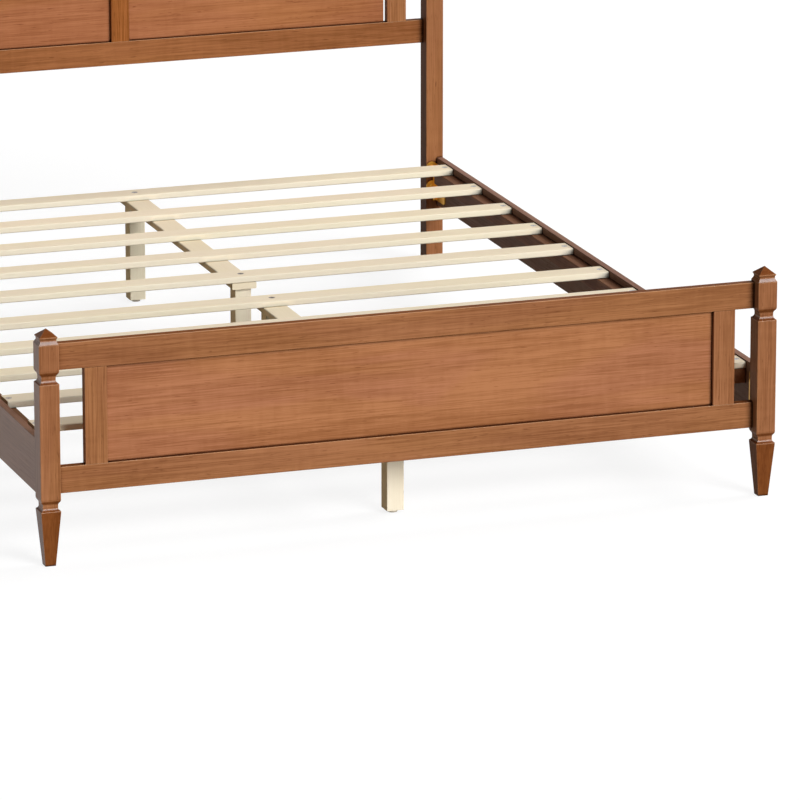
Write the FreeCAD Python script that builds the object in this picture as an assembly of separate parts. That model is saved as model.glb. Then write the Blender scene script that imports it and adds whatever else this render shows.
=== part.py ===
import FreeCAD, Part
import os

os.makedirs("parts", exist_ok=True)

# All sizes are in millimetres. X runs to the right seen from the foot end, Y runs from foot to head,
# Z runs up from the floor, and the origin is on the floor under the middle of the bed.

# Bed as a whole
bed_width = 1592.0              # over the outer faces of the posts
bed_length = 2123.0             # from the foot posts' fronts to the head posts' backs

# Posts and their mouldings
post_side = 42.0
post_edge = 1.2                 # rounding of the long edges
foot_post_height = 493.6
head_post_height = 1118.0
edge_ease = 0.9                 # rounding where a moulding meets a flat face
foot_tip_side = 22.0            # square tip on the floor
foot_flare_height = 9.3         # hollow curve from the foot up to its waist
foot_waist_height = 4.1
foot_undercut_height = 12.4     # curve from the waist out to the shaft
foot_waist_inset = 5.0
shaft_below_rail = 5.2          # the shaft starts this far under the footboard's bottom rail
neck_flare_height = 11.4        # the same three steps between the shaft and the top block
neck_waist_height = 3.1
neck_undercut_height = 14.0
neck_waist_inset = 6.0
block_height = 54.6             # square block that takes the top rail
finial_chamfer_height = 6.4
finial_neck_height = 2.1
finial_neck_inset = 4.2
finial_flare_height = 4.1
finial_lip_height = 2.1
finial_lip_inset = 2.3
pyramid_height = 14.9
pyramid_tip_side = 1.0
head_post_floor_chamfer = 1.5

# Side rails, cleats and the height of the bed base
side_rail_thickness = 15.0
side_rail_height = 115.0
side_rail_bottom = 148.4
side_rail_setback = 0.5         # outer face behind the posts' outer faces
board_edge = 1.0                # rounding of the boards' long edges
cleat_width = 28.0
cleat_height = 31.0
cleat_edge = 1.0

# Slats
slats_per_group = 5
slat_width = 56.1
slat_thickness = 14.5
slat_edge = 3.0
slat_drop = 2.8                 # slat tops below the tops of the side rails
slat_head_margin = 61.6         # from the head posts to the first slat
slat_foot_margin = 85.0         # from the last slat to the foot posts
slat_middle_extra = 21.2        # wider gap between the two groups
slat_gap_left = 10.4            # end of a slat to the side rail
slat_gap_right = 1.0

# Centre supports
leg_side = 37.3
leg_edge = 2.0
leveller_disc_diameter = 20.5
leveller_disc_height = 6.6
leveller_disc_edge = 1.5
leveller_stem_diameter = 7.9
leveller_stem_length = 24.0
leveller_gap = 0.3              # disc to the leg's bottom
leveller_play = 0.05            # stem to its insert, on the radius
leg_insert_diameter = 11.0
leg_insert_length = 18.0

# Footboard and headboard frames
frame_thickness = 19.0
rail_height = 55.3
rail_below_block_top = 4.4
foot_rail_drop = 1.6            # footboard's bottom rail below the side rails' bottom
head_rail_bottom = 539.1
stile_width = 47.0
centre_stile_width = 43.0
foot_gap = 50.5                 # open gap between post and stile, were the frame in the middle
head_gap = 51.5
frame_shift = 8.5               # both frames' stiles and panels to the right of the bed's middle
panel_recess = 10.0             # front of the panel behind the front of the frame
panel_thickness = 5.0
panel_overlap = 8.0             # panel's edge inside the rebates
panel_play = 0.3
head_panel_slit = 6.0           # open slit between a head panel and its outer stile
dowel_diameter = 8.0
dowel_length = 40.0
dowel_spacing = 20.0
dowel_end_gap = 0.5

# Corner brackets
bracket_thickness = 2.5
bracket_bottom_margin = 11.6    # rail leaf above the side rail's bottom
bracket_top_margin = 14.8       # rail leaf below the side rail's top
bracket_strip_width = 10.0
bracket_corner = 8.0
bracket_ear_margin = 0.2
bracket_cleat_gap = 0.6         # end of the rail leaf to the cleat at the head
upper_ear_drop = 6.7            # middle of the upper ear below the rail leaf's top
lower_ear_rise = 35.7           # middle of the lower ear above the rail leaf's bottom

# Fasteners
snug = 0.05                     # glued or pressed pieces to their holes, on the radius
hole_play = 0.2                 # screws and bolts to their clearance holes, on the radius
bolt_diameter = 6.0
bolt_head_diameter = 10.5
bolt_head_height = 3.3
bolt_overrun = 2.0              # bolt's end past its insert
bolt_insert_diameter = 9.0
bolt_insert_length = 15.0
socket_width = 4.0              # across the flats of the hexagon sockets
slat_screw_diameter = 5.0
slat_screw_length = 34.0
slat_screw_head_diameter = 14.0
slat_screw_head_height = 3.4
slat_screw_inset = 11.0         # from the slat's end
screw_sink = 0.3                # countersunk heads below the surface
wood_screw_diameter = 4.0
wood_screw_head_diameter = 8.0
wood_screw_head_height = 2.3
wood_screw_bite = 11.0          # length inside the side rail

V = FreeCAD.Vector
LEFT, RIGHT = -1, 1
FOOT, HEAD = -1, 1

half_width = bed_width / 2
half_length = bed_length / 2
post_x = half_width - post_side / 2                 # middle of a post
post_y = half_length - post_side / 2
post_face_x = half_width - post_side                # post faces towards the middle of the bed
post_face_y = half_length - post_side

side_rail_top = side_rail_bottom + side_rail_height
side_rail_outer = half_width - side_rail_setback
side_rail_inner = side_rail_outer - side_rail_thickness

slat_top = side_rail_top - slat_drop
slat_bottom = slat_top - slat_thickness
cleat_top = slat_bottom
cleat_bottom = cleat_top - cleat_height
centre_rail_bottom = slat_bottom - slat_thickness
leg_bottom = leveller_disc_height + leveller_gap

slat_count = 2 * slats_per_group
first_slat_back = post_face_y - slat_head_margin
last_slat_front = -post_face_y + slat_foot_margin
slat_run = first_slat_back - last_slat_front - slat_width - slat_middle_extra
slat_pitch = slat_run / (slat_count - 1)
slat_left = -side_rail_inner + slat_gap_left
slat_right = side_rail_inner - slat_gap_right
centre_x = (slat_left + slat_right) / 2

finial_height = (finial_chamfer_height + finial_neck_height + finial_flare_height
                 + finial_lip_height + pyramid_height)
neck_height = neck_flare_height + neck_waist_height + neck_undercut_height
foot_rail_bottom = side_rail_bottom - foot_rail_drop
foot_rail_top = foot_post_height - finial_height - rail_below_block_top
head_rail_top = head_post_height - finial_height - rail_below_block_top
foot_frame_front = -post_face_y - frame_thickness   # frames are flush with the backs of their posts
head_frame_front = half_length - frame_thickness

leaf_bottom = side_rail_bottom + bracket_bottom_margin
leaf_top = side_rail_top - bracket_top_margin
ear_offset = (side_rail_inner - post_face_x) / 2    # middle of an ear from the side rail's inner face
ear_radius = ear_offset - bracket_ear_margin
ear_heights = (leaf_bottom + lower_ear_rise, leaf_top - upper_ear_drop)
leaf_length = slat_head_margin - bracket_cleat_gap

nodes = {}


def block(x_a, x_b, y_a, y_b, z_a, z_b):
    """Box between two opposite corners, given in any order."""
    corner = V(min(x_a, x_b), min(y_a, y_b), min(z_a, z_b))
    return Part.makeBox(abs(x_b - x_a), abs(y_b - y_a), abs(z_b - z_a), corner)


def board(x_a, x_b, y_a, y_b, z_a, z_b, radius, along):
    """Box whose four edges along one direction are rounded."""
    box = block(x_a, x_b, y_a, y_b, z_a, z_b)
    edges = []
    for edge in box.Edges:
        run = edge.Vertexes[1].Point - edge.Vertexes[0].Point
        if run.cross(along).Length < 1e-6:
            edges.append(edge)
    return box.makeFillet(radius, edges)


def rod(point, direction, length, radius):
    """Cylinder that starts at a point and runs along a direction."""
    return Part.makeCylinder(radius, length, point, direction)


def placed(shape, point, direction):
    """Copy of a shape that was drawn pointing down from the origin, moved to a point and turned."""
    copy = shape.copy()
    copy.Placement = FreeCAD.Placement(point, FreeCAD.Rotation(V(0, 0, -1), direction))
    return copy


def moulded(side, steps):
    """Square post whose four sides follow one outline, mitred at the corners.

    Each step is (inset from the full side, height, hollow): the line from the step before is straight
    for hollow 0, curves into the wood for a positive hollow and bulges out for a negative one.
    """
    half = side / 2
    right = []
    left = []
    for before, step in zip(steps, steps[1:]):
        start = V(half - before[0], 0, before[1])
        end = V(half - step[0], 0, step[1])
        run = end.sub(start).normalize()
        bend = (start + end) * 0.5 + V(-run.z, 0, run.x) * step[2]
        for edges, flip in ((right, 1), (left, -1)):
            points = [V(flip * p.x, 0, p.z) for p in (start, bend, end)]
            if step[2] == 0:
                edges.append(Part.makeLine(points[0], points[2]))
            else:
                edges.append(Part.Arc(*points).toShape())
    low = half - steps[0][0]
    high = half - steps[-1][0]
    floor = Part.makeLine(V(-low, 0, steps[0][1]), V(low, 0, steps[0][1]))
    tip = Part.makeLine(V(high, 0, steps[-1][1]), V(-high, 0, steps[-1][1]))
    face = Part.Face(Part.Wire([floor] + right + [tip] + left[::-1]))
    face.translate(V(0, -half, 0))
    across = face.extrude(V(0, side, 0))
    along = across.copy()
    along.rotate(V(0, 0, 0), V(0, 0, 1), 90)
    rounded = board(-half, half, -half, half, steps[0][1], steps[-1][1], post_edge, V(0, 0, 1))
    return across.common(along).common(rounded)


def climb(steps, *moves):
    """Adds steps to an outline; each move is (inset, rise, hollow)."""
    for inset, rise, hollow in moves:
        steps.append((inset, steps[-1][1] + rise, hollow))


def waist(steps, inset, flare, straight, undercut):
    """Adds a hollow flare up to a waist, the waist, and a curve back out to the full side."""
    climb(steps,
          (edge_ease, edge_ease, -0.25 * edge_ease),
          (inset, flare - edge_ease, 0.16 * flare),
          (inset, straight, 0),
          (0.45 * inset, 0.47 * undercut, 0.05 * undercut),
          (0, 0.53 * undercut, -0.04 * undercut))


def upper_steps(steps, height):
    """Adds the shaft, the neck, the block and the finial up to the post's full height."""
    block_top = height - finial_height
    shaft_top = block_top - block_height - neck_height
    steps.append((0, shaft_top, 0))
    waist(steps, neck_waist_inset, neck_flare_height, neck_waist_height, neck_undercut_height)
    steps.append((0, block_top - edge_ease, 0))
    climb(steps,
          (edge_ease, edge_ease, -0.25 * edge_ease),
          (finial_neck_inset, finial_chamfer_height, 0),
          (finial_neck_inset, finial_neck_height, 0),
          (finial_lip_inset, finial_flare_height, 0.12 * finial_flare_height),
          (finial_lip_inset, finial_lip_height, 0),
          ((post_side - pyramid_tip_side) / 2, pyramid_height, 0))


def hexagon(width, depth):
    """Hexagon socket cut down from the origin."""
    corner = V(width / 3 ** 0.5, 0, 0)
    turn = FreeCAD.Rotation(V(0, 0, 1), 60)
    corners = [corner]
    for _ in range(6):
        corners.append(turn.multVec(corners[-1]))
    return Part.Face(Part.makePolygon(corners)).extrude(V(0, 0, -depth))


def cross(width, depth):
    """Cross recess cut down from the origin."""
    arm = width / 4
    bar = block(-width / 2, width / 2, -arm / 2, arm / 2, -depth, 0)
    return bar.fuse(block(-arm / 2, arm / 2, -width / 2, width / 2, -depth, 0))


def sunk_screw(diameter, head_diameter, head_height, length):
    """Countersunk screw without its recess, head up, with a short blunt point."""
    point = diameter
    head = Part.makeCone(diameter / 2, head_diameter / 2, head_height, V(0, 0, -head_height))
    shank = rod(V(0, 0, -length + point), V(0, 0, 1), length - point - head_height, diameter / 2)
    end = Part.makeCone(diameter / 8, diameter / 2, point, V(0, 0, -length))
    return head.fuse([shank, end]).removeSplitter()


def sunk_hole(diameter, head_diameter, head_height, length):
    """Clearance hole for a countersunk screw whose head sits a little below the surface."""
    radius = diameter / 2 + hole_play
    head_radius = head_diameter / 2 + hole_play
    cone = Part.makeCone(radius, head_radius, head_height, V(0, 0, -head_height - screw_sink))
    mouth = rod(V(0, 0, -screw_sink), V(0, 0, 1), 2 * screw_sink, head_radius)
    shank = rod(V(0, 0, -length), V(0, 0, 1), length - head_height - screw_sink, radius)
    return cone.fuse([mouth, shank]).removeSplitter()


# Foot and head posts, each drilled for the dowels of its rails and for the inserts of its bracket.
foot_steps = [((post_side - foot_tip_side) / 2, 0, 0)]
shaft_bottom = foot_rail_bottom - shaft_below_rail
foot_top = shaft_bottom - foot_flare_height - foot_waist_height - foot_undercut_height
foot_steps.append((0, foot_top, 0))
waist(foot_steps, foot_waist_inset, foot_flare_height, foot_waist_height, foot_undercut_height)
upper_steps(foot_steps, foot_post_height)
foot_post = moulded(post_side, foot_steps)

head_steps = [(head_post_floor_chamfer, 0, 0), (0, head_post_floor_chamfer, 0)]
upper_steps(head_steps, head_post_height)
head_post = moulded(post_side, head_steps)

insert_hole_depth = bolt_insert_length + bolt_overrun + hole_play


def bracket_points(side, end):
    """Middles of a bracket's two ears on the post's face."""
    x = side * (side_rail_inner - ear_offset)
    return [V(x, end * post_face_y, z) for z in ear_heights]


def end_dowels(side, frame_front, rail_bottom):
    """Middles of the two dowels between a rail's end and a post."""
    middle = rail_bottom + rail_height / 2
    y = frame_front + frame_thickness / 2
    return [V(side * post_face_x, y, middle + step * dowel_spacing / 2) for step in (-1, 1)]


def dowel_hole(point, direction):
    """Hole from a joint's face into one of its pieces."""
    return rod(point, direction, dowel_length / 2 + dowel_end_gap, dowel_diameter / 2)


def dowel(point, direction):
    """Dowel across a joint, half in each piece."""
    start = point - direction * (dowel_length / 2)
    return rod(start, direction, dowel_length, dowel_diameter / 2 - snug)


post_rails = {
    FOOT: (foot_frame_front, (foot_rail_bottom, foot_rail_top - rail_height)),
    HEAD: (head_frame_front, (head_rail_bottom, head_rail_top - rail_height)),
}
for end, shape, name in ((FOOT, foot_post, "foot_post"), (HEAD, head_post, "head_post")):
    frame_front, rail_bottoms = post_rails[end]
    for side, word in ((LEFT, "left"), (RIGHT, "right")):
        post = shape.copy()
        post.translate(V(side * post_x, end * post_y, 0))
        holes = []
        for rail_bottom in rail_bottoms:
            for point in end_dowels(side, frame_front, rail_bottom):
                holes.append(dowel_hole(point, V(side, 0, 0)))
        for point in bracket_points(side, end):
            holes.append(rod(point, V(0, end, 0), insert_hole_depth, bolt_insert_diameter / 2 + snug))
        nodes[name + "_" + word] = post.cut(holes)


def frame_rail(frame_front, bottom, stiles, rebates, inner):
    """Rail of a frame: dowel holes at both ends and over each stile, rebates behind the panels.

    inner is 1 when the panels stand on top of the rail and -1 when they hang below it.
    """
    back = frame_front + frame_thickness
    top = bottom + rail_height
    edge = top if inner > 0 else bottom
    rail = board(-post_face_x, post_face_x, frame_front, back, bottom, top, board_edge, V(1, 0, 0))
    cuts = []
    for x_a, x_b in rebates:
        reach = edge - inner * (panel_overlap + panel_play)
        cuts.append(block(x_a, x_b, frame_front + panel_recess, back + 1, reach, edge + inner))
    for side in (LEFT, RIGHT):
        for point in end_dowels(side, frame_front, bottom):
            cuts.append(dowel_hole(point, V(-side, 0, 0)))
    for x in stiles:
        cuts.append(dowel_hole(V(x, frame_front + frame_thickness / 2, edge), V(0, 0, -inner)))
    return rail.cut(cuts)


def frame_stile(frame_front, x, width, bottom, top, rebated):
    """Upright between two rails, with a dowel hole in each end and a rebate on each listed side."""
    back = frame_front + frame_thickness
    stile = board(x - width / 2, x + width / 2, frame_front, back, bottom, top, board_edge, V(0, 0, 1))
    middle = frame_front + frame_thickness / 2
    cuts = [dowel_hole(V(x, middle, bottom), V(0, 0, 1)), dowel_hole(V(x, middle, top), V(0, 0, -1))]
    for side in rebated:
        edge = x + side * width / 2
        reach = edge - side * (panel_overlap + panel_play)
        cuts.append(block(reach, edge + side, frame_front + panel_recess, back + 1, bottom, top))
    return stile.cut(cuts)


def frame_panel(frame_front, x_a, x_b, bottom, top):
    """Thin panel that lies against the shoulders of the rebates."""
    front = frame_front + panel_recess
    return block(x_a, x_b, front, front + panel_thickness, bottom - panel_overlap, top + panel_overlap)


def frame_dowels(frame_front, rail_bottoms, stiles):
    """All the dowels of one frame."""
    dowels = []
    for rail_bottom in rail_bottoms:
        for side in (LEFT, RIGHT):
            for point in end_dowels(side, frame_front, rail_bottom):
                dowels.append(dowel(point, V(1, 0, 0)))
    for x in stiles:
        for z in (rail_bottoms[0] + rail_height, rail_bottoms[1]):
            dowels.append(dowel(V(x, frame_front + frame_thickness / 2, z), V(0, 0, 1)))
    return Part.makeCompound(dowels)


# Footboard: two rails between the posts, two stiles and one panel in rebates on all four sides.
foot_open_bottom = foot_rail_bottom + rail_height
foot_open_top = foot_rail_top - rail_height
foot_stile_left = frame_shift - post_face_x + foot_gap + stile_width / 2
foot_stile_right = frame_shift + post_face_x - foot_gap - stile_width / 2
foot_stiles = (foot_stile_left, foot_stile_right)
foot_open_left = foot_stile_left + stile_width / 2
foot_open_right = foot_stile_right - stile_width / 2
foot_seat = (foot_open_left - panel_overlap - panel_play, foot_open_right + panel_overlap + panel_play)
nodes["footboard_bottom_rail"] = frame_rail(foot_frame_front, foot_rail_bottom, foot_stiles, [foot_seat], 1)
nodes["footboard_top_rail"] = frame_rail(foot_frame_front, foot_open_top, foot_stiles, [foot_seat], -1)
for x, word, side in ((foot_stile_left, "left", RIGHT), (foot_stile_right, "right", LEFT)):
    stile = frame_stile(foot_frame_front, x, stile_width, foot_open_bottom, foot_open_top, [side])
    nodes["footboard_stile_" + word] = stile
nodes["footboard_panel"] = frame_panel(foot_frame_front, foot_open_left - panel_overlap,
                                       foot_open_right + panel_overlap, foot_open_bottom, foot_open_top)
nodes["footboard_dowels"] = frame_dowels(foot_frame_front, (foot_rail_bottom, foot_open_top), foot_stiles)

# Headboard: the same frame with a centre stile and two panels, each held by both rails and the centre
# stile, with a narrow open slit between the panel's outer end and the outer stile.
head_open_bottom = head_rail_bottom + rail_height
head_open_top = head_rail_top - rail_height
head_stile = post_face_x - head_gap - stile_width / 2
head_stiles = (frame_shift - head_stile, frame_shift, frame_shift + head_stile)
head_panel_end = head_stile - stile_width / 2 - head_panel_slit
head_panel_start = centre_stile_width / 2 - panel_overlap
head_seats = []
for side, word in ((LEFT, "left"), (RIGHT, "right")):
    start = frame_shift + side * head_panel_start
    end = frame_shift + side * head_panel_end
    head_seats.append((start - side * panel_play, end + side * panel_play))
    nodes["headboard_stile_" + word] = frame_stile(head_frame_front, frame_shift + side * head_stile,
                                                   stile_width, head_open_bottom, head_open_top, [])
    nodes["headboard_panel_" + word] = frame_panel(head_frame_front, start, end, head_open_bottom,
                                                   head_open_top)
nodes["headboard_centre_stile"] = frame_stile(head_frame_front, frame_shift, centre_stile_width,
                                              head_open_bottom, head_open_top, [LEFT, RIGHT])
nodes["headboard_bottom_rail"] = frame_rail(head_frame_front, head_rail_bottom, head_stiles, head_seats, 1)
nodes["headboard_top_rail"] = frame_rail(head_frame_front, head_open_top, head_stiles, head_seats, -1)
nodes["headboard_dowels"] = frame_dowels(head_frame_front, (head_rail_bottom, head_open_top), head_stiles)

# Slats: back edges from the head end, with the wider gap after the first group.
slat_backs = []
for index in range(slat_count):
    extra = slat_middle_extra if index >= slats_per_group else 0
    slat_backs.append(first_slat_back - index * slat_pitch - extra)
slat_middles = [back - slat_width / 2 for back in slat_backs]
bolted_slats = (0, slats_per_group - 1, slats_per_group, slat_count - 1)
left_inset = min(slat_screw_inset, (cleat_width - slat_gap_left) / 2)
right_inset = min(slat_screw_inset, (cleat_width - slat_gap_right) / 2)
slat_screw_xs = (slat_left + left_inset, slat_right - right_inset)

bolt_grip = slat_top - centre_rail_bottom
centre_bolt_length = bolt_grip + bolt_insert_length + bolt_overrun - screw_sink
slat_screw = sunk_screw(slat_screw_diameter, slat_screw_head_diameter, slat_screw_head_height,
                        slat_screw_length)
slat_screw = slat_screw.cut(hexagon(socket_width, 0.6 * slat_screw_head_height))
centre_bolt = sunk_screw(bolt_diameter - 2 * snug, slat_screw_head_diameter, slat_screw_head_height,
                         centre_bolt_length)
centre_bolt = centre_bolt.cut(hexagon(socket_width, 0.6 * slat_screw_head_height))
slat_hole = sunk_hole(slat_screw_diameter, slat_screw_head_diameter, slat_screw_head_height,
                      slat_thickness + 1)
centre_hole = sunk_hole(bolt_diameter, slat_screw_head_diameter, slat_screw_head_height,
                        slat_thickness + 1)
down = V(0, 0, -1)

slat_screws = []
centre_bolts = []
for index, middle in enumerate(slat_middles):
    slat = board(slat_left, slat_right, middle - slat_width / 2, middle + slat_width / 2,
                 slat_bottom, slat_top, slat_edge, V(1, 0, 0))
    holes = []
    for x in slat_screw_xs:
        holes.append(placed(slat_hole, V(x, middle, slat_top), down))
        slat_screws.append(placed(slat_screw, V(x, middle, slat_top - screw_sink), down))
    if index in bolted_slats:
        holes.append(placed(centre_hole, V(centre_x, middle, slat_top), down))
        centre_bolts.append(placed(centre_bolt, V(centre_x, middle, slat_top - screw_sink), down))
    nodes["slat_%02d" % (index + 1)] = slat.cut(holes)
nodes["slat_screws"] = Part.makeCompound(slat_screws)
nodes["centre_bolts"] = Part.makeCompound(centre_bolts)

# Side rails between the posts, with the cleats that carry the slat ends and the cleats' screws.
wood_screw_head = wood_screw_head_diameter / 2
cleat_screw_length = cleat_width + wood_screw_bite
cleat_screw = sunk_screw(wood_screw_diameter, wood_screw_head_diameter, wood_screw_head_height,
                         cleat_screw_length)
cleat_screw = cleat_screw.cut(cross(0.55 * wood_screw_head_diameter, 0.6 * wood_screw_head_height))
cleat_hole = sunk_hole(wood_screw_diameter, wood_screw_head_diameter, wood_screw_head_height,
                       cleat_width + 1)
cleat_screw_ys = []
for index in range(0, slat_count - 1, 2):
    cleat_screw_ys.append((slat_middles[index] + slat_middles[index + 1]) / 2)
cleat_screw_z = (cleat_top + cleat_bottom) / 2

leaf_screws = {}
for end in (FOOT, HEAD):
    leaf_middle = (leaf_bottom + leaf_top) / 2
    leaf_rise = 0.28 * (leaf_top - leaf_bottom)
    near = end * (post_face_y - 0.36 * leaf_length)
    far = end * (post_face_y - 0.76 * leaf_length)
    leaf_screws[end] = ((near, leaf_middle + leaf_rise), (near, leaf_middle - leaf_rise), (far, leaf_middle))

cleat_screws = []
for side, word, screw_x in ((LEFT, "left", slat_screw_xs[0]), (RIGHT, "right", slat_screw_xs[1])):
    outward = V(side, 0, 0)
    inner = side * side_rail_inner
    cleat_face = side * (side_rail_inner - cleat_width)
    rail = board(inner, side * side_rail_outer, -post_face_y, post_face_y, side_rail_bottom,
                 side_rail_top, board_edge, V(0, 1, 0))
    cleat = board(inner, cleat_face, last_slat_front, first_slat_back, cleat_bottom, cleat_top,
                  cleat_edge, V(0, 1, 0))
    rail_holes = []
    cleat_holes = []
    pilot = wood_screw_diameter / 2 + snug
    for y in cleat_screw_ys:
        cleat_holes.append(placed(cleat_hole, V(cleat_face, y, cleat_screw_z), outward))
        rail_holes.append(rod(V(inner, y, cleat_screw_z), outward, wood_screw_bite, pilot))
        head = V(cleat_face + side * screw_sink, y, cleat_screw_z)
        cleat_screws.append(placed(cleat_screw, head, outward))
    for middle in slat_middles:
        depth = slat_screw_length + screw_sink - slat_thickness + hole_play
        cleat_holes.append(rod(V(screw_x, middle, cleat_top), down, depth, slat_screw_diameter / 2 + snug))
    for end in (FOOT, HEAD):
        for y, z in leaf_screws[end]:
            rail_holes.append(rod(V(inner, y, z), outward, wood_screw_bite, pilot))
    nodes["side_rail_" + word] = rail.cut(rail_holes)
    nodes["slat_cleat_" + word] = cleat.cut(cleat_holes)
nodes["cleat_screws"] = Part.makeCompound(cleat_screws)

# Centre rails, laid flat under each group of slats and bolted through the slats into the legs.
groups = (("head", 0, slats_per_group - 1), ("foot", slats_per_group, slat_count - 1))
for word, first, last in groups:
    rail = board(centre_x - slat_width / 2, centre_x + slat_width / 2, slat_backs[last] - slat_width,
                 slat_backs[first], centre_rail_bottom, slat_bottom, slat_edge, V(0, 1, 0))
    holes = []
    for index in (first, last):
        point = V(centre_x, slat_middles[index], slat_bottom)
        holes.append(rod(point, down, slat_thickness, bolt_diameter / 2 + hole_play))
    nodes["centre_rail_" + word] = rail.cut(holes)

# Centre legs with a threaded insert in each end, and the small round feet that screw into them.
stem_radius = leveller_stem_diameter / 2
insert_bore = stem_radius + leveller_play
stem_hole_depth = leveller_stem_length + 2
disc = Part.makeCylinder(leveller_disc_diameter / 2, leveller_disc_height)
disc = disc.makeFillet(leveller_disc_edge, disc.Edges[0:1] + disc.Edges[2:3])
stem = rod(V(0, 0, leveller_disc_height), V(0, 0, 1), leveller_stem_length, stem_radius)
stem = stem.makeChamfer(0.2 * stem_radius, [edge for edge in stem.Edges if edge.BoundBox.ZMin
                                            > leveller_disc_height + leveller_stem_length / 2])
leveller = disc.fuse(stem).removeSplitter()
bottom_inserts = []
top_inserts = []
for number, index in enumerate(bolted_slats, 1):
    y = slat_middles[index]
    leg = board(centre_x - leg_side / 2, centre_x + leg_side / 2, y - leg_side / 2, y + leg_side / 2,
                leg_bottom, centre_rail_bottom, leg_edge, V(0, 0, 1))
    foot_point = V(centre_x, y, leg_bottom)
    top_point = V(centre_x, y, centre_rail_bottom)
    up = V(0, 0, 1)
    leg_holes = [
        rod(foot_point, up, leg_insert_length, leg_insert_diameter / 2 + snug),
        rod(foot_point, up, stem_hole_depth, stem_radius + hole_play),
        rod(top_point, down, insert_hole_depth, bolt_insert_diameter / 2 + snug),
    ]
    nodes["centre_leg_%d" % number] = leg.cut(leg_holes)
    sleeve = rod(foot_point, up, leg_insert_length, leg_insert_diameter / 2)
    bottom_inserts.append(sleeve.cut(rod(foot_point, up, leg_insert_length, insert_bore)))
    sleeve = rod(top_point, down, bolt_insert_length, bolt_insert_diameter / 2)
    top_inserts.append(sleeve.cut(rod(top_point, down, bolt_insert_length, bolt_diameter / 2)))
    foot = leveller.copy()
    foot.translate(V(centre_x, y, 0))
    nodes["levelling_foot_%d" % number] = foot
nodes["leg_bottom_inserts"] = Part.makeCompound(bottom_inserts)
nodes["leg_top_inserts"] = Part.makeCompound(top_inserts)

# Corner brackets: a leaf screwed to the side rail and two round ears bolted to the post.
bolt_reach = bracket_thickness + bolt_insert_length + bolt_overrun
bolt_head = Part.makeCylinder(bolt_head_diameter / 2, bolt_head_height)
bolt_head = bolt_head.makeFillet(0.55 * bolt_head_height, [
    edge for edge in bolt_head.Edges if edge.BoundBox.ZMin > bolt_head_height / 2])
bolt_shank = rod(V(0, 0, -bolt_reach), V(0, 0, 1), bolt_reach, bolt_diameter / 2 - snug)
bracket_bolt = bolt_head.fuse(bolt_shank).removeSplitter()
socket = hexagon(socket_width, 0.6 * bolt_head_height)
socket.translate(V(0, 0, bolt_head_height))
bracket_bolt = bracket_bolt.cut(socket)

leaf_screw_reach = bracket_thickness + wood_screw_bite - hole_play
screw_head = Part.makeCylinder(wood_screw_head, wood_screw_head_height)
screw_head = screw_head.makeFillet(0.55 * wood_screw_head_height, [
    edge for edge in screw_head.Edges if edge.BoundBox.ZMin > wood_screw_head_height / 2])
screw_shank = rod(V(0, 0, -leaf_screw_reach), V(0, 0, 1), leaf_screw_reach, wood_screw_diameter / 2)
leaf_screw = screw_head.fuse(screw_shank).removeSplitter()
recess = cross(0.55 * wood_screw_head_diameter, 0.6 * wood_screw_head_height)
recess.translate(V(0, 0, wood_screw_head_height))
leaf_screw = leaf_screw.cut(recess)

bracket_bolts = []
bracket_screws = []
post_inserts = []
for end, end_word in ((HEAD, "head"), (FOOT, "foot")):
    for side, side_word in ((LEFT, "left"), (RIGHT, "right")):
        face_x = side * side_rail_inner
        face_y = end * post_face_y
        leaf_x = face_x - side * bracket_thickness
        leaf_end = face_y - end * leaf_length
        leaf = block(face_x, leaf_x, face_y, leaf_end, leaf_bottom, leaf_top)
        far_edges = []
        for edge in leaf.Edges:
            box = edge.BoundBox
            if box.YLength < 1e-6 and box.ZLength < 1e-6 and abs(box.YMin - leaf_end) < 1e-6:
                far_edges.append(edge)
        leaf = leaf.makeFillet(bracket_corner, far_edges)
        strip = block(face_x, face_x - side * bracket_strip_width, face_y,
                      face_y - end * bracket_thickness, leaf_bottom, leaf_top)
        pieces = [strip]
        holes = []
        inward = V(0, -end, 0)
        into_post = V(0, end, 0)
        for point in bracket_points(side, end):
            pieces.append(rod(point, inward, bracket_thickness, ear_radius))
            holes.append(rod(point, inward, bracket_thickness, bolt_diameter / 2 + hole_play))
            bracket_bolts.append(placed(bracket_bolt, point + inward * bracket_thickness, into_post))
            sleeve = rod(point, into_post, bolt_insert_length, bolt_insert_diameter / 2)
            post_inserts.append(sleeve.cut(rod(point, into_post, bolt_insert_length, bolt_diameter / 2)))
        for y, z in leaf_screws[end]:
            outward = V(side, 0, 0)
            holes.append(rod(V(leaf_x, y, z), outward, bracket_thickness,
                             wood_screw_diameter / 2 + hole_play))
            bracket_screws.append(placed(leaf_screw, V(leaf_x, y, z), outward))
        bracket = leaf.fuse(pieces).removeSplitter().cut(holes)
        nodes["corner_bracket_%s_%s" % (end_word, side_word)] = bracket
nodes["bracket_bolts"] = Part.makeCompound(bracket_bolts)
nodes["bracket_screws"] = Part.makeCompound(bracket_screws)
nodes["post_inserts"] = Part.makeCompound(post_inserts)

for name, shape in nodes.items():
    if not shape.isValid():
        raise ValueError(name + " is not a valid solid")
    shape.exportStep("parts/" + name + ".step")
print(len(nodes), "pieces")
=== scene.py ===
import math

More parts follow.
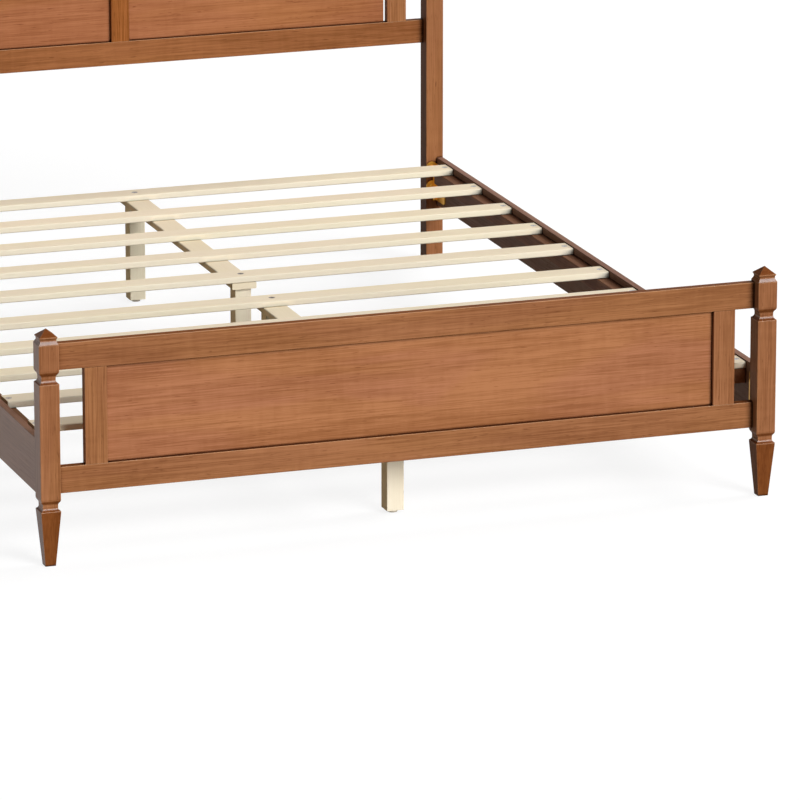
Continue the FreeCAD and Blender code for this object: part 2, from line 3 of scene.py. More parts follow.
import bpy
import numpy as np
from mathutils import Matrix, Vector


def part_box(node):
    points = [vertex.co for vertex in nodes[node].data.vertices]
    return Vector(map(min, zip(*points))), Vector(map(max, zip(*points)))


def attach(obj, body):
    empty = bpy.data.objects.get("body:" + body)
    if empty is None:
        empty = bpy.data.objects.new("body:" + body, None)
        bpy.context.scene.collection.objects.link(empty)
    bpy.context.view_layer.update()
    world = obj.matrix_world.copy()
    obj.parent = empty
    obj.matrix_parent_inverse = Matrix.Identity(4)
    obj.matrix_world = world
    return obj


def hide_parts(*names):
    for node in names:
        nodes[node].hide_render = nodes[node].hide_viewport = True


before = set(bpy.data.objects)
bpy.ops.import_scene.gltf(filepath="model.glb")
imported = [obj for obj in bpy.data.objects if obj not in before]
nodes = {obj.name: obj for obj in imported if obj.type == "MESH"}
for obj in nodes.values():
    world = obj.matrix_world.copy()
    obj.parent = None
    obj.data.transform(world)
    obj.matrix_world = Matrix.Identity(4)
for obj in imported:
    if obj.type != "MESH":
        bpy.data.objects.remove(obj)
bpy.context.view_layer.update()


# Posts: four square lengths of solid wood, planed, moulded at the necks, stained reddish brown and
# lacquered satin. The cut faces of the mouldings, pyramids and tapered feet drink more stain; on faces
# that look up the darker tint is partly painted shade. Their sides are tinted as they are lit, the
# inner sides of the head posts much darker, as painted light and shade; their inner corners take painted
# shade and the stretches just below upper edges a painted highlight.

def add(tree, kind, inputs=None, **settings):
    """Adds a shader node; each input is given a plain value or the output of another node."""
    made = tree.nodes.new("ShaderNode" + kind)
    for name, value in settings.items():
        setattr(made, name, value)
    for key, value in (inputs or {}).items():
        if isinstance(value, bpy.types.NodeSocket):
            tree.links.new(value, made.inputs[key])
        else:
            made.inputs[key].default_value = value
    return made


def math_node(tree, operation, *values):
    """One arithmetic step on values or outputs; gives its output."""
    return add(tree, "Math", dict(enumerate(values)), operation=operation).outputs[0]


def blend_colours(tree, share, low, high, mode="MIX"):
    """Goes from one colour to another by a share from 0 to 1; gives its output."""
    return add(tree, "Mix", {0: share, 6: low, 7: high}, data_type="RGBA", blend_type=mode).outputs[2]


def ramp(tree, value, low, high, start=0.0, end=1.0):
    """Smooth step: start below low, end above high."""
    made = add(tree, "MapRange", {"Value": value, "From Min": low, "From Max": high,
                                  "To Min": start, "To Max": end}, interpolation_type="SMOOTHSTEP")
    return made.outputs[0]


def stretched_noise(tree, place, scale, detail, rough, bend=0.0):
    """Noise drawn out along the grain by a scale for each direction; gives its value."""
    drawn = add(tree, "Mapping", {"Vector": place, "Scale": scale})
    made = add(tree, "TexNoise", {"Vector": drawn.outputs[0], "Scale": 1.0, "Detail": detail,
                                  "Roughness": rough, "Distortion": bend})
    return made.outputs["Fac"]


def open_material(name):
    """New material; gives it with its node tree and its shader."""
    material = bpy.data.materials.new(name)
    material.use_nodes = True
    return material, material.node_tree, material.node_tree.nodes["Principled BSDF"]


def raise_grain(tree, shader, height, strength, distance):
    """Bumps the shader's normal by a height pattern."""
    bump = add(tree, "Bump", {"Strength": strength, "Distance": distance, "Height": height})
    tree.links.new(bump.outputs[0], shader.inputs["Normal"])


def open_group(name, takes, gives):
    """New shader node group with named sockets; gives the tree and its two end nodes."""
    tree = bpy.data.node_groups.new(name, "ShaderNodeTree")
    for socket, kind in takes:
        tree.interface.new_socket(socket, in_out="INPUT", socket_type="NodeSocket" + kind)
    for socket, kind in gives:
        tree.interface.new_socket(socket, in_out="OUTPUT", socket_type="NodeSocket" + kind)
    return tree, tree.nodes.new("NodeGroupInput"), tree.nodes.new("NodeGroupOutput")


def timber_grain_group():
    """Grain of planed wood that runs along the X of its Place.

    Tone is the sum of broad bands, growth streaks, fine lines and a faint cross ripple, each less its
    mean of one half; soft zones turn golden, and pores are short dark lines where a finer noise passes a
    threshold.
    """
    tree, takes, gives = open_group(
        "timber_grain",
        [("Place", "Vector"), ("Pale", "Color"), ("Dark", "Color"), ("Streaks", "Float"), ("Gold", "Float"),
         ("Pores", "Float"), ("Satin", "Float")],
        [("Color", "Color"), ("Roughness", "Float"), ("Height", "Float")])
    place = takes.outputs["Place"]
    bands = stretched_noise(tree, place, (1.5, 12.0, 12.0), 1.0, 0.5, 0.6)
    growth = stretched_noise(tree, place, (3.0, 75.0, 75.0), 2.0, 0.55, 0.4)
    lines = stretched_noise(tree, place, (9.0, 430.0, 430.0), 2.0, 0.6, 0.2)
    ripple = stretched_noise(tree, place, (60.0, 14.0, 14.0), 1.0, 0.5, 0.5)
    flecks = ramp(tree, stretched_noise(tree, place, (40.0, 430.0, 430.0), 1.0, 0.5), 0.66, 0.78)
    zones = ramp(tree, stretched_noise(tree, place, (1.8, 9.0, 9.0), 1.0, 0.5, 0.8), 0.42, 0.62)
    layers = [(bands, 0.9), (growth, 0.5), (lines, 1.5), (ripple, 0.25)]
    tone = -sum(weight for layer, weight in layers) / 2
    for layer, weight in layers:
        tone = math_node(tree, "MULTIPLY_ADD", layer, weight, tone)
    tone = math_node(tree, "MULTIPLY_ADD", tone, takes.outputs["Streaks"], 0.5)
    tone = add(tree, "Clamp", {0: tone}).outputs[0]
    colour = blend_colours(tree, tone, takes.outputs["Dark"], takes.outputs["Pale"])
    golden = math_node(tree, "MULTIPLY", zones, takes.outputs["Gold"])
    colour = blend_colours(tree, golden, colour, (1.03, 1.08, 0.86, 1), "MULTIPLY")
    pores = math_node(tree, "MULTIPLY", flecks, takes.outputs["Pores"])
    colour = blend_colours(tree, pores, colour, takes.outputs["Dark"], "MULTIPLY")
    rough = math_node(tree, "MULTIPLY_ADD", lines, -0.16, takes.outputs["Satin"])
    rough = math_node(tree, "MULTIPLY_ADD", pores, 0.2, rough)
    height = math_node(tree, "MULTIPLY_ADD", flecks, -0.5, lines)
    tree.links.new(colour, gives.inputs["Color"])
    tree.links.new(math_node(tree, "ADD", rough, 0.08), gives.inputs["Roughness"])
    tree.links.new(height, gives.inputs["Height"])
    return tree


def rubbed_edges_and_highlight_group():
    """Shares of edge wear and of a painted highlight, from the face and the same face rounded over its edges.

    Wear is one less the cosine between the two; the painted highlight is how far the rounded one looks
    higher up, which is so just below upper edges.
    """
    tree, takes, gives = open_group("rubbed_edges_and_highlight", [("Width", "Float")],
                                    [("Wear", "Float"), ("Crest_highlight", "Float")])
    rounded = add(tree, "Bevel", {"Radius": takes.outputs["Width"]}, samples=4)
    flat = add(tree, "NewGeometry")
    cosine = add(tree, "VectorMath", {0: rounded.outputs[0], 1: flat.outputs["Normal"]},
                 operation="DOT_PRODUCT")
    wear = ramp(tree, math_node(tree, "SUBTRACT", 1.0, cosine.outputs["Value"]), 0.01, 0.16)
    tree.links.new(wear, gives.inputs["Wear"])
    change = add(tree, "VectorMath", {0: rounded.outputs[0], 1: flat.outputs["Normal"]}, operation="SUBTRACT")
    lift = add(tree, "SeparateXYZ", {0: change.outputs["Vector"]})
    tree.links.new(ramp(tree, lift.outputs["Z"], 0.05, 0.35), gives.inputs["Crest_highlight"])
    return tree


def painted_corner_shade_group():
    """Share of painted shade in inner corners, creases and recesses: what is closed off within a short reach.
    """
    tree, takes, gives = open_group("painted_corner_shade", [("Reach", "Float")], [("Share", "Float")])
    closed = add(tree, "AmbientOcclusion", {"Distance": takes.outputs["Reach"]}, samples=8)
    share = ramp(tree, closed.outputs["AO"], 0.45, 0.95, 1.0, 0.0)
    tree.links.new(share, gives.inputs["Share"])
    return tree


timber_grain = timber_grain_group()
rubbed_edges_and_highlight = rubbed_edges_and_highlight_group()
painted_corner_shade = painted_corner_shade_group()
TURNS = {"X": (0.0, 0.0, 0.0), "Y": (0.0, 0.0, math.pi / 2), "Z": (0.0, math.pi / 2, 0.0)}
EDGE_WIDTH = 0.003
EDGE_WEAR = 0.15
COAT_ROUGHNESS = 0.14


def timber(name, grain, streaks, pale, dark, gold, pores, satin, gloss, cut_stain_and_painted_light_tint, cut_from, corner_shade_tint,
           corner_shade_reach, wear_and_highlight_tint, painted_outer_side_tint=(1, 1, 1), painted_inner_side_tint=(1, 1, 1), crest_highlight=0.0, eased=0.0,
           relief=0.0003, lacquer=0.0, polish=0.0, shift=0.0):
    """Wood finish with its grain along X, Y or Z, shifted along the plank it was cut from.

    Faces that look up or down by more than cut_from, tapered faces and end grain are multiplied by the
    cut tint: stain, and on faces that look up also painted shade or painted light. Inner corners are
    multiplied by a painted shade tint, and faces to the left and right by painted light and shade tints,
    one where they look away from the middle of the bed and one where they don't. Edges go towards the wear
    tint by the share EDGE_WEAR as wear, and stretches below upper edges and eased upper edges go towards it
    as a painted highlight. Lacquer stands thickest on faces that slant up, and polish is its share on faces
    that look away from the middle.
    """
    material, tree, shader = open_material(name)
    spot = add(tree, "TexCoord")
    turned = add(tree, "Mapping", {"Vector": spot.outputs["Object"], "Rotation": TURNS[grain],
                                   "Location": (shift, 0.0, 0.0)})
    wood = add(tree, "Group", node_tree=timber_grain)
    tree.links.new(turned.outputs[0], wood.inputs["Place"])
    for socket, value in (("Pale", (*pale, 1)), ("Dark", (*dark, 1)), ("Streaks", streaks), ("Gold", gold),
                          ("Pores", pores), ("Satin", satin)):
        wood.inputs[socket].default_value = value

    # Cut faces: those that slant or lie flat, the ends of the piece and the slight taper of a foot.
    # Their tint is stain, and on faces that look up partly painted shade, or painted light on the cleats.
    facing = add(tree, "SeparateXYZ", {0: spot.outputs["Normal"]})
    upright = math_node(tree, "ABSOLUTE", facing.outputs["Z"])
    end_grain = math_node(tree, "ABSOLUTE", facing.outputs[grain])
    downward = math_node(tree, "MULTIPLY", facing.outputs["Z"], -1.0)
    tapered = math_node(tree, "MULTIPLY", ramp(tree, downward, 0.03, 0.06),
                        ramp(tree, downward, 0.09, 0.13, 1.0, 0.0))
    cut = math_node(tree, "MAXIMUM", ramp(tree, upright, cut_from, 3 * cut_from),
                    ramp(tree, end_grain, 0.5, 0.8))
    cut = math_node(tree, "MAXIMUM", cut, tapered)
    colour = blend_colours(tree, cut, wood.outputs["Color"], (*cut_stain_and_painted_light_tint, 1), "MULTIPLY")

    # Faces to the left and right, outer and inner, take painted light and shade: each side is tinted
    # lighter or darker as the light falls on it.
    sides = ramp(tree, math_node(tree, "ABSOLUTE", facing.outputs["X"]), 0.6, 0.9)
    spread = add(tree, "SeparateXYZ", {0: spot.outputs["Object"]})
    outward = ramp(tree, math_node(tree, "MULTIPLY", facing.outputs["X"], spread.outputs["X"]), 0.4, 0.6)
    tint = blend_colours(tree, outward, (*painted_inner_side_tint, 1), (*painted_outer_side_tint, 1))
    colour = blend_colours(tree, sides, colour, tint, "MULTIPLY")

    # Rubbed edges with a painted highlight along upper edges, then painted shade in the inner corners.
    edges = add(tree, "Group", {"Width": EDGE_WIDTH}, node_tree=rubbed_edges_and_highlight)
    # Painted highlight: eased upper edges that slant up, and the stretches just below upper edges, go towards
    # the wear tint as if catching the light; all edges also go a little towards it as wear.
    upper = math_node(tree, "MULTIPLY", ramp(tree, facing.outputs["Z"], 0.15, 0.4),
                      ramp(tree, facing.outputs["Z"], 0.8, 0.97, eased, 0.0))
    wear = math_node(tree, "MAXIMUM", math_node(tree, "MULTIPLY", edges.outputs["Wear"], EDGE_WEAR), upper)
    wear = math_node(tree, "MAXIMUM", math_node(tree, "MULTIPLY", edges.outputs["Crest_highlight"], crest_highlight), wear)
    colour = blend_colours(tree, wear, colour, (*wear_and_highlight_tint, 1))
    # Painted shade: inner corners, creases and recesses go towards a dark tint by how closed off they are.
    corners = add(tree, "Group", {"Reach": corner_shade_reach}, node_tree=painted_corner_shade)
    colour = blend_colours(tree, corners.outputs["Share"], colour, (*corner_shade_tint, 1), "MULTIPLY")

    # Clear coat, and what the grain does to the surface.
    if lacquer > 0 or polish > 0:
        slanted = math_node(tree, "MULTIPLY", ramp(tree, facing.outputs["Z"], 0.12, 0.30),
                            ramp(tree, facing.outputs["Z"], 0.55, 0.7, 1.0, 0.0))
        coat = math_node(tree, "MAXIMUM", math_node(tree, "MULTIPLY", slanted, lacquer),
                         math_node(tree, "MULTIPLY", outward, polish))
        tree.links.new(coat, shader.inputs["Coat Weight"])
        shader.inputs["Coat Roughness"].default_value = COAT_ROUGHNESS
    tree.links.new(colour, shader.inputs["Base Color"])
    tree.links.new(wood.outputs["Roughness"], shader.inputs["Roughness"])
    raise_grain(tree, shader, wood.outputs["Height"], 0.35, relief)
    shader.inputs["Specular IOR Level"].default_value = gloss
    return material


def dress(finish, *names):
    """Gives each named piece one finish all over."""
    for name in names:
        for place in nodes[name].material_slots:
            place.material = finish


# Painted light in the shared tints: the cut tint darkens faces that look up partly as painted shade, the
# corner tint is painted shade in inner corners, and the wear tint is also the colour of painted highlights.
STAIN = dict(pale=(0.362, 0.153, 0.067), dark=(0.220, 0.082, 0.032), gold=0.3, pores=0.4, satin=0.46,
             gloss=0.02, cut_stain_and_painted_light_tint=(0.60, 0.45, 0.28), cut_from=0.15, corner_shade_tint=(0.12, 0.07, 0.05),
             corner_shade_reach=0.006, wear_and_highlight_tint=(0.62, 0.36, 0.19), lacquer=0.12)
# Painted light and shade: outer sides tinted lighter, inner sides tinted as they are lit, and a painted
# highlight just below upper edges.
POST = dict(STAIN, painted_outer_side_tint=(1.20, 1.18, 1.20), painted_inner_side_tint=(0.98, 1.12, 1.18), crest_highlight=0.6, lacquer=0.5,
            polish=0.36)
foot_post_wood = timber("foot_post_wood", "Z", streaks=1.4, **POST)
dress(foot_post_wood, "foot_post_left", "foot_post_right")
# Head posts: a shaded copy of the same finish, their inner sides tinted much darker as painted shade.
HEAD_POST_SHADED = dict(POST, painted_inner_side_tint=(0.43, 0.41, 0.41))
head_post_shaded_wood = timber("head_post_shaded_wood", "Z", streaks=1.0, **HEAD_POST_SHADED)
dress(head_post_shaded_wood, "head_post_left", "head_post_right")


# Footboard and headboard rails: solid wood lengths between the posts, with the grain running across
# the bed and two glued dowels in each end. The headboard's are a little darker, and the footboard's
# lower one comes from another stretch of the plank. Their eased upper edges carry a painted highlight
# and their inner corners painted shade over a wider reach.

RAIL = dict(STAIN, corner_shade_reach=0.016, eased=0.75)
foot_rail_wood = timber("foot_rail_wood", "X", streaks=1.4, **RAIL)
dress(foot_rail_wood, "footboard_top_rail")
low_rail_wood = timber("low_rail_wood", "X", streaks=1.4, shift=1.48, **RAIL)
dress(low_rail_wood, "footboard_bottom_rail")
HEAD_RAIL = dict(RAIL, pale=(0.310, 0.119, 0.045), dark=(0.190, 0.066, 0.021))
head_rail_wood = timber("head_rail_wood", "X", streaks=1.6, **HEAD_RAIL)
dress(head_rail_wood, "headboard_top_rail", "headboard_bottom_rail")


# Stiles: short uprights dowelled between the two rails of each frame, cut from straight-grained wood
# whose streaks run up and down.

STILE = dict(STAIN, pale=(0.346, 0.145, 0.063), dark=(0.210, 0.078, 0.030))
stile_wood = timber("stile_wood", "Z", streaks=1.6, **STILE)
dress(stile_wood, "footboard_stile_left", "footboard_stile_right", "headboard_stile_left",
      "headboard_stile_right")
DEEP = dict(STAIN, pale=(0.335, 0.115, 0.032), dark=(0.205, 0.064, 0.015))
deep_stile_wood = timber("deep_stile_wood", "Z", streaks=2.0, **DEEP)
dress(deep_stile_wood, "headboard_centre_stile")


# Panels: thin veneered boards let into rebates at the backs of the frames, a little pinker than the
# solid wood, with the grain of the veneer running across the bed.

VENEER = dict(STAIN, pale=(0.412, 0.168, 0.083), dark=(0.280, 0.104, 0.045), gold=0.6)
foot_veneer = timber("foot_veneer", "X", streaks=1.8, **VENEER)
dress(foot_veneer, "footboard_panel")
HEAD_VENEER = dict(VENEER, pale=(0.392, 0.153, 0.070), dark=(0.266, 0.093, 0.038))
head_veneer = timber("head_veneer", "X", streaks=1.3, **HEAD_VENEER)
dress(head_veneer, "headboard_panel_left", "headboard_panel_right")


# Dowels: turned beech pegs, glued across the joints of both frames and hidden once the bed is
# together. They stay bare.

# The dowels' inner corners take painted shade.
BEECH = dict(pale=(0.62, 0.43, 0.27), dark=(0.47, 0.29, 0.16), gold=0.3, pores=0.5, satin=0.55, gloss=0.3,
             cut_stain_and_painted_light_tint=(0.85, 0.8, 0.75), cut_from=0.9, corner_shade_tint=(0.6, 0.5, 0.4), corner_shade_reach=0.004,
             wear_and_highlight_tint=(0.66, 0.48, 0.32), relief=0.0002)
beech = timber("beech_dowel", "X", streaks=0.8, **BEECH)
dress(beech, "footboard_dowels", "headboard_dowels")


# Side rails: long stained boards that stand on edge between the foot and head posts, bolted to them
# through the corner brackets.

# Painted light and shade: the side rails' tops, outer sides and inner sides are tinted as they are lit.
SIDE_RAIL = dict(POST, cut_stain_and_painted_light_tint=(0.76, 0.95, 1.50), painted_inner_side_tint=(0.73, 0.96, 1.42), crest_highlight=0.0, lacquer=0.12)
side_rail_wood = timber("side_rail_wood", "Y", streaks=1.0, **SIDE_RAIL)
dress(side_rail_wood, "side_rail_left", "side_rail_right")


# Cleats: near-square strips of wood, stained dark and left without lacquer, screwed along the inner
# faces of the side rails. The slat ends lie on them.

# Painted light: the cleats' tops and the sides that face the middle are tinted lighter, as where light falls
# between the slats.
CLEAT = dict(STAIN, pale=(0.160, 0.075, 0.045), dark=(0.095, 0.042, 0.024), cut_stain_and_painted_light_tint=(1.44, 1.42, 1.28),
             painted_inner_side_tint=(1.66, 1.64, 1.56), lacquer=0.0)
cleat_wood = timber("cleat_wood", "Y", streaks=1.0, **CLEAT)
dress(cleat_wood, "slat_cleat_left", "slat_cleat_right")


# Slats: ten unstained softwood boards, planed, with rounded long edges, laid across the bed and screwed
# down on the cleats at both ends.

# Painted shade and highlight: the sides of the pale pieces are tinted darker and warmer, their tops a little
# darker, their inner corners darker, and their eased upper edges lighter.
PLANED = dict(pale=(0.900, 0.815, 0.648), dark=(0.835, 0.730, 0.558), gold=0.15, pores=0.10, satin=0.58,
              gloss=0.05, cut_stain_and_painted_light_tint=(1, 0.96, 0.92), cut_from=0.3, painted_outer_side_tint=(1, 0.8, 0.6),
              painted_inner_side_tint=(1.05, 0.84, 0.58), corner_shade_tint=(0.85, 0.78, 0.70), corner_shade_reach=0.004,
              wear_and_highlight_tint=(0.68, 0.61, 0.48), eased=0.6)
BOARD = dict(PLANED, pale=(0.845, 0.773, 0.620), dark=(0.785, 0.692, 0.533))
# The slats take a stronger painted shade in inner corners, over a wider reach.
SLAT = dict(BOARD, corner_shade_tint=(0.64, 0.70, 0.76), corner_shade_reach=0.020)
pale_across = timber("pale_wood_across", "X", streaks=0.9, **SLAT)
dress(pale_across, *["slat_%02d" % number for number in range(1, 11)])


# Centre supports: two flat rails laid under the slats along the bed, and four square legs under them,
# of the same unstained wood. Long bolts draw slat, rail and leg together.

pale_along = timber("pale_wood_along", "Y", streaks=0.9, **BOARD)
# The legs' sides that face the middle take a warmer painted shade.
LEG = dict(PLANED, painted_inner_side_tint=(1.12, 0.93, 0.65))
pale_upright = timber("pale_wood_upright", "Z", streaks=0.9, **LEG)
dress(pale_along, "centre_rail_head", "centre_rail_foot")
dress(pale_upright, *["centre_leg_%d" % number for number in range(1, 5)])


# Levelling feet: small moulded plastic discs on threaded steel stems, which screw into the inserts at
# the bottoms of the legs to take up an uneven floor.

METAL_EDGE = 0.0008
PLASTIC_EDGE = 0.001


def bare_metal(name, bright, dull, rough, cloud_scale):
    """Plated or blackened metal: colour clouds over the surface, and bright rubbed edges."""
    material, tree, shader = open_material(name)
    spot = add(tree, "TexCoord")
    clouds = stretched_noise(tree, spot.outputs["Object"], (cloud_scale,) * 3, 4.0, 0.6, 0.8)
    fine = stretched_noise(tree, spot.outputs["Object"], (12 * cloud_scale,) * 3, 2.0, 0.5)
    edges = add(tree, "Group", {"Width": METAL_EDGE}, node_tree=rubbed_edges_and_highlight)
    share = add(tree, "Clamp", {0: math_node(tree, "ADD", ramp(tree, clouds, 0.3, 0.7),
                                             edges.outputs["Wear"])}).outputs[0]
    tree.links.new(blend_colours(tree, share, (*dull, 1), (*bright, 1)), shader.inputs["Base Color"])
    tree.links.new(math_node(tree, "MULTIPLY_ADD", fine, 0.2, rough - 0.1), shader.inputs["Roughness"])
    raise_grain(tree, shader, fine, 0.2, 0.0001)
    shader.inputs["Metallic"].default_value = 1.0
    return material


def moulded_plastic(name, pale, dark, rough):
    """Moulded plastic: a faint cloud in the colour, a fine pitted skin and paler rubbed edges."""
    material, tree, shader = open_material(name)
    spot = add(tree, "TexCoord")
    clouds = stretched_noise(tree, spot.outputs["Object"], (60.0,) * 3, 3.0, 0.5)
    pits = stretched_noise(tree, spot.outputs["Object"], (1500.0,) * 3, 1.0, 0.5)
    edges = add(tree, "Group", {"Width": PLASTIC_EDGE}, node_tree=rubbed_edges_and_highlight)
    share = add(tree, "Clamp", {0: math_node(tree, "MULTIPLY_ADD", edges.outputs["Wear"], 0.5,
                                             ramp(tree, clouds, 0.3, 0.7))}).outputs[0]
    tree.links.new(blend_colours(tree, share, (*dark, 1), (*pale, 1)), shader.inputs["Base Color"])
    tree.links.new(math_node(tree, "MULTIPLY_ADD", pits, 0.15, rough - 0.07), shader.inputs["Roughness"])
    raise_grain(tree, shader, pits, 0.25, 0.0001)
    return material


FOOT_HEIGHT = 0.0066
FOOT_ROUND = 0.0015
FOOT_SIDES = 48
RIM_POINTS = 6
STEM_RADIUS = 0.00395
STEM_FLARE = 0.0006     # the stem leaves the disc through a flat cone, this much wider than the stem
STEM_FLARE_HEIGHT = 0.0001
THREAD_START = 0.0003   # above the disc
THREAD_PITCH = 0.00125
THREAD_DEPTH = 0.0007
THREAD_RINGS = 8        # rings of points in each turn


def turned_foot(name, x, y, disc, top, finishes):
    """Disc of a radius and threaded stem up to a height, one surface over the angle and a profile.

    The profile goes from the middle of the underside round the disc's rounded rim, in to the stem and up
    to its chamfered tip. Along the stem the radius is less by the thread's depth times twice the distance
    from height / pitch - angle / full turn to the nearest whole number.
    """
    bend = np.linspace(0.0, math.pi / 2, RIM_POINTS)
    flat = disc - FOOT_ROUND
    thread_foot = FOOT_HEIGHT + THREAD_START
    climb = np.arange(thread_foot, top, THREAD_PITCH / THREAD_RINGS)
    radius = np.concatenate([[0.5 * flat], flat + FOOT_ROUND * np.sin(bend), flat + FOOT_ROUND * np.cos(bend),
                             [STEM_RADIUS + STEM_FLARE, STEM_RADIUS], np.full(len(climb), STEM_RADIUS)])
    height = np.concatenate([[0.0], FOOT_ROUND * (1 - np.cos(bend)),
                             FOOT_HEIGHT - FOOT_ROUND * (1 - np.sin(bend)),
                             [FOOT_HEIGHT, FOOT_HEIGHT + STEM_FLARE_HEIGHT], climb])
    angle = np.arange(FOOT_SIDES) * 2 * math.pi / FOOT_SIDES
    turns = height[:, None] / THREAD_PITCH - angle / (2 * math.pi)
    started = np.clip((height - thread_foot) / THREAD_PITCH, 0.0, 1.0)[:, None]
    cut = THREAD_DEPTH * started * 2 * np.abs(turns - np.round(turns))
    chamfer = STEM_RADIUS - THREAD_DEPTH + (top - height)[:, None]
    reach = np.minimum(radius[:, None] - cut, np.where(started > 0, chamfer, disc))
    rings = np.stack([x + reach * np.cos(angle), y + reach * np.sin(angle),
                      np.broadcast_to(height[:, None], reach.shape)], axis=-1).reshape(-1, 3)
    poles = np.array([(x, y, 0.0), (x, y, height[-1])])
    row, side = np.meshgrid(np.arange(len(height) - 1), np.arange(FOOT_SIDES), indexing="ij")
    near, far = row * FOOT_SIDES + side, row * FOOT_SIDES + (side + 1) % FOOT_SIDES
    walls = np.stack([near, far, far + FOOT_SIDES, near + FOOT_SIDES], axis=-1).reshape(-1, 4)
    first = np.arange(FOOT_SIDES)
    after = (first + 1) % FOOT_SIDES
    last = (len(height) - 1) * FOOT_SIDES
    under = np.stack([np.full(FOOT_SIDES, len(rings)), after, first], axis=-1)
    tip = np.stack([np.full(FOOT_SIDES, len(rings) + 1), last + first, last + after], axis=-1)
    faces = walls.tolist() + under.tolist() + tip.tolist()
    mesh = bpy.data.meshes.new(name)
    mesh.from_pydata(np.concatenate([rings, poles]).tolist(), [], faces)
    steel = np.concatenate([np.repeat(height[:-1] > FOOT_HEIGHT, FOOT_SIDES), np.zeros(FOOT_SIDES, bool),
                            np.ones(FOOT_SIDES, bool)])
    for finish in finishes:
        mesh.materials.append(finish)
    mesh.polygons.foreach_set("material_index", steel.astype(np.int32))
    mesh.polygons.foreach_set("use_smooth", np.ones(len(steel), bool))
    mesh.update()
    foot = bpy.data.objects.new(name, mesh)
    bpy.context.scene.collection.objects.link(foot)
    return foot


glide_plastic = moulded_plastic("glide_plastic", (0.74, 0.67, 0.55), (0.66, 0.58, 0.45), 0.5)
screw_steel = bare_metal("screw_steel", (0.54, 0.51, 0.51), (0.38, 0.36, 0.36), 0.38, 90.0)
for number in range(1, 5):
    body = "levelling_foot_%d" % number
    low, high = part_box(body)
    middle = (Vector(low) + Vector(high)) / 2
    disc = (high[0] - low[0]) / 2
    foot = turned_foot("turned_foot_%d" % number, middle.x, middle.y, disc, high[2],
                       (glide_plastic, screw_steel))
    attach(foot, body)
    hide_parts(body)


# Slat screws and bolts: countersunk screws through the slat ends and cleats, and longer bolts through
# the slats and centre rails into the legs.

dress(screw_steel, "slat_screws", "cleat_screws")
bolt_steel = bare_metal("bolt_steel", (0.33, 0.30, 0.28), (0.20, 0.18, 0.17), 0.42, 90.0)
dress(bolt_steel, "centre_bolts")


# Corner brackets: pressed steel angles with a leaf on the side rail and two round ears on the post,
# plated yellow together with their bolts and round-headed screws.

yellow_zinc = bare_metal("yellow_zinc", (0.78, 0.42, 0.07), (0.58, 0.29, 0.04), 0.42, 70.0)
dress(yellow_zinc, "corner_bracket_head_left", "corner_bracket_head_right", "corner_bracket_foot_left",
      "corner_bracket_foot_right", "bracket_bolts", "bracket_screws")


# Threaded inserts: brass sleeves pressed into the posts for the bolts of the brackets, and into the
# two ends of each leg for the long bolts and the levelling feet.

insert_brass = bare_metal("insert_brass", (0.75, 0.55, 0.26), (0.58, 0.40, 0.17), 0.35, 120.0)
dress(insert_brass, "post_inserts", "leg_top_inserts", "leg_bottom_inserts")


# Floor: a plain pale sheet under the bed. It is white to the eye and keeps a soft shadow, but throws
# little light back on the bed.

FLOOR_REACH = 150.0
FLOOR_GREY = 0.20
FLOOR_GLOW = 0.84
floor_mesh = bpy.data.meshes.new("floor")
corners = np.array([(-1, -1, 0), (1, -1, 0), (1, 1, 0), (-1, 1, 0)], float) * FLOOR_REACH
floor_mesh.from_pydata(corners.tolist(), [], [(0, 1, 2, 3)])
floor = bpy.data.objects.new("floor", floor_mesh)
bpy.context.scene.collection.objects.link(floor)


def seen_directly(tree):
    """1 for rays from the eye and for reflected or refracted ones, 0 for diffuse light."""
    path = add(tree, "LightPath")
    seen = math_node(tree, "MAXIMUM", path.outputs["Is Camera Ray"], path.outputs["Is Glossy Ray"])
    return math_node(tree, "MAXIMUM", seen, path.outputs["Is Transmission Ray"])


pale_sheet, sheet_tree, sheet = open_material("pale_sheet")
sheet.inputs["Base Color"].default_value = (FLOOR_GREY, FLOOR_GREY, FLOOR_GREY, 1)
sheet.inputs["Roughness"].default_value = 0.9
sheet.inputs["Specular IOR Level"].default_value = 0.0
sheet.inputs["Emission Color"].default_value = (1, 1, 1, 1)
sheet_tree.links.new(math_node(sheet_tree, "MULTIPLY", seen_directly(sheet_tree), FLOOR_GLOW),
                     sheet.inputs["Emission Strength"])
floor_mesh.materials.append(pale_sheet)


# Light: a broad lamp from the front with a low one under it, one from the upper right, two small ones
# that catch the eased edges, a low one from behind on the right and a weak one from the left, and pale
# walls round a dark ceiling.

def soft_lamp(name, direction, level, width):
    """Far lamp in a direction from the bed; level is what a white face turned to it shows."""
    lamp = bpy.data.lights.new(name, "SUN")
    lamp.energy = level * math.pi
    lamp.angle = math.radians(width)
    holder = bpy.data.objects.new(name, lamp)
    holder.rotation_euler = Vector(direction).to_track_quat("Z", "Y").to_euler()
    bpy.context.scene.collection.objects.link(holder)


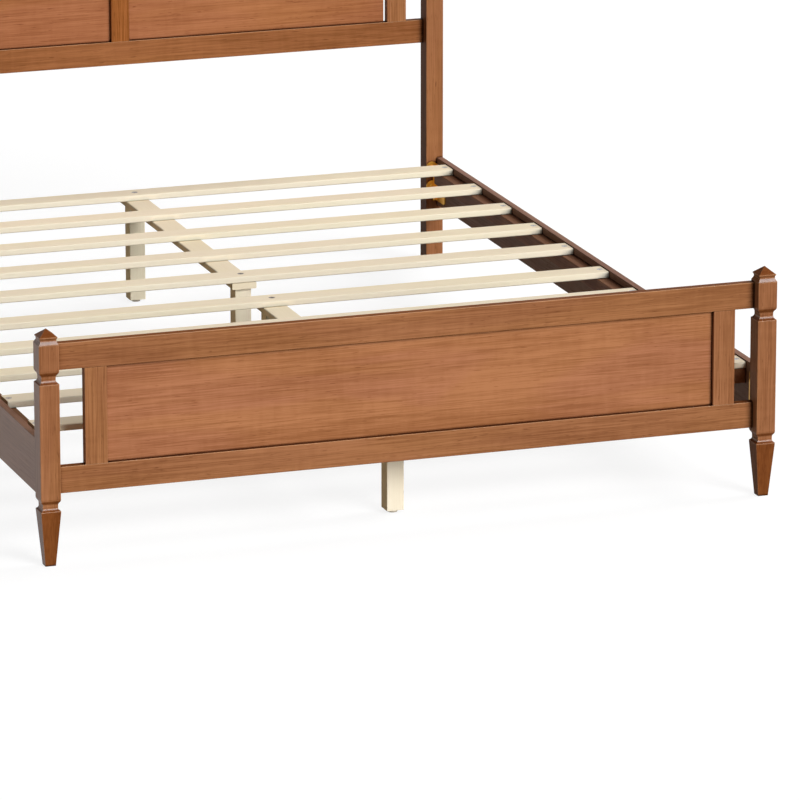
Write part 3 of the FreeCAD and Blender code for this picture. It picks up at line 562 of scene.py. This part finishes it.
soft_lamp("front_lamp", (0.36, -0.82, 0.44), 0.92, 34.0)
soft_lamp("low_lamp", (0.20, -0.975, 0.08), 0.22, 16.0)
soft_lamp("upper_lamp", (0.71, 0.10, 0.69), 0.40, 20.0)
soft_lamp("edge_lamp_low", (0.32, -0.74, 0.58), 0.06, 14.0)
soft_lamp("edge_lamp_high", (0.32, -0.46, 0.83), 0.06, 16.0)
soft_lamp("back_lamp", (0.80, 0.58, 0.12), 0.62, 26.0)
soft_lamp("left_lamp", (-0.96, -0.20, 0.18), 0.10, 50.0)

WALL_GLOW = 0.5
CEILING_GLOW = 0.05
LEFT_WALL = 0.6         # share of the glow that the wall on the left has
world = bpy.data.worlds.new("pale_room")
world.use_nodes = True
bpy.context.scene.world = world
room = world.node_tree
look = add(room, "SeparateXYZ", {0: add(room, "TexCoord").outputs["Generated"]})
wall = ramp(room, look.outputs["Z"], 0.08, 0.14, WALL_GLOW, CEILING_GLOW)
wall = math_node(room, "MULTIPLY", wall, ramp(room, look.outputs["X"], -0.6, -0.1, LEFT_WALL, 1.0))
room.links.new(math_node(room, "MAXIMUM", seen_directly(room), wall),
               room.nodes["Background"].inputs["Strength"])
room.nodes["Background"].inputs["Color"].default_value = (1, 1, 1, 1)


# Camera: a long lens from in front, to the left and a little above the bed, turned to the right and
# dipped in degrees.

CAMERA_PLACE = (-4.2225, -13.1605, 3.8246)
CAMERA_TURN = 19.101
CAMERA_DIP = 15.459
CAMERA_SENSOR = 36.0
CAMERA_LENS = 292.868
CAMERA_REACH = 400.0
camera_data = bpy.data.cameras.new("camera")
camera_data.sensor_width = CAMERA_SENSOR
camera_data.lens = CAMERA_LENS
camera_data.clip_end = CAMERA_REACH
camera = bpy.data.objects.new("camera", camera_data)
camera.location = CAMERA_PLACE
camera.rotation_euler = (math.radians(90 - CAMERA_DIP), 0.0, math.radians(-CAMERA_TURN))
bpy.context.scene.collection.objects.link(camera)
bpy.context.scene.camera = camera
bpy.context.scene.view_settings.view_transform = "Standard"
